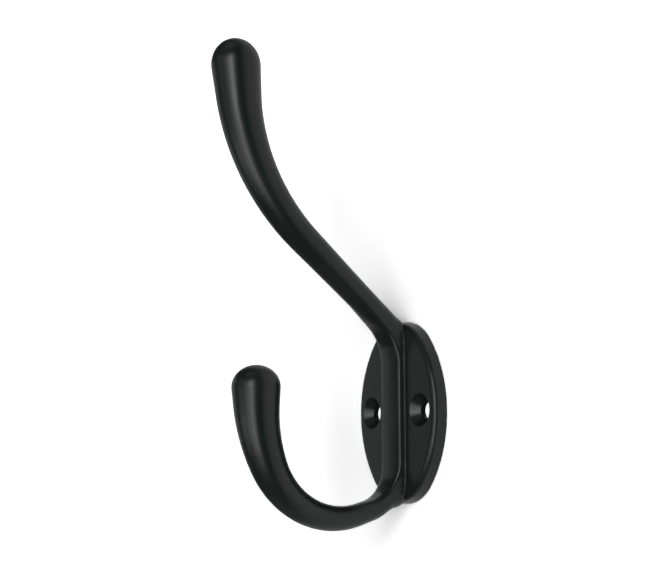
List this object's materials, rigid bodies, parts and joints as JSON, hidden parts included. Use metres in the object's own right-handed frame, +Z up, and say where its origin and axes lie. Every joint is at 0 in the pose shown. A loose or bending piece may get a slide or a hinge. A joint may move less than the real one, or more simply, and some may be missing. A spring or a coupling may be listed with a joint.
{
  "type": "hat and coat hook",
  "caption": "Cast wall hook with an oval plate, a long upswept hat prong above and a shorter upturned coat prong below, both ending in rounded bulbs.",
  "frame": {"origin": "middle of the oval plate's flat back face, which lies on the wall", "axes": "+X to the right for someone who faces the wall, +Y into the wall, +Z up; the prongs reach out towards -Y"},
  "size_m": [0.0348, 0.0566, 0.1208],
  "materials": {
    "black_coat": "satin"
  },
  "bodies": {
    "root": {"hook_casting": "black_coat"}
  },
  "joints": []
}
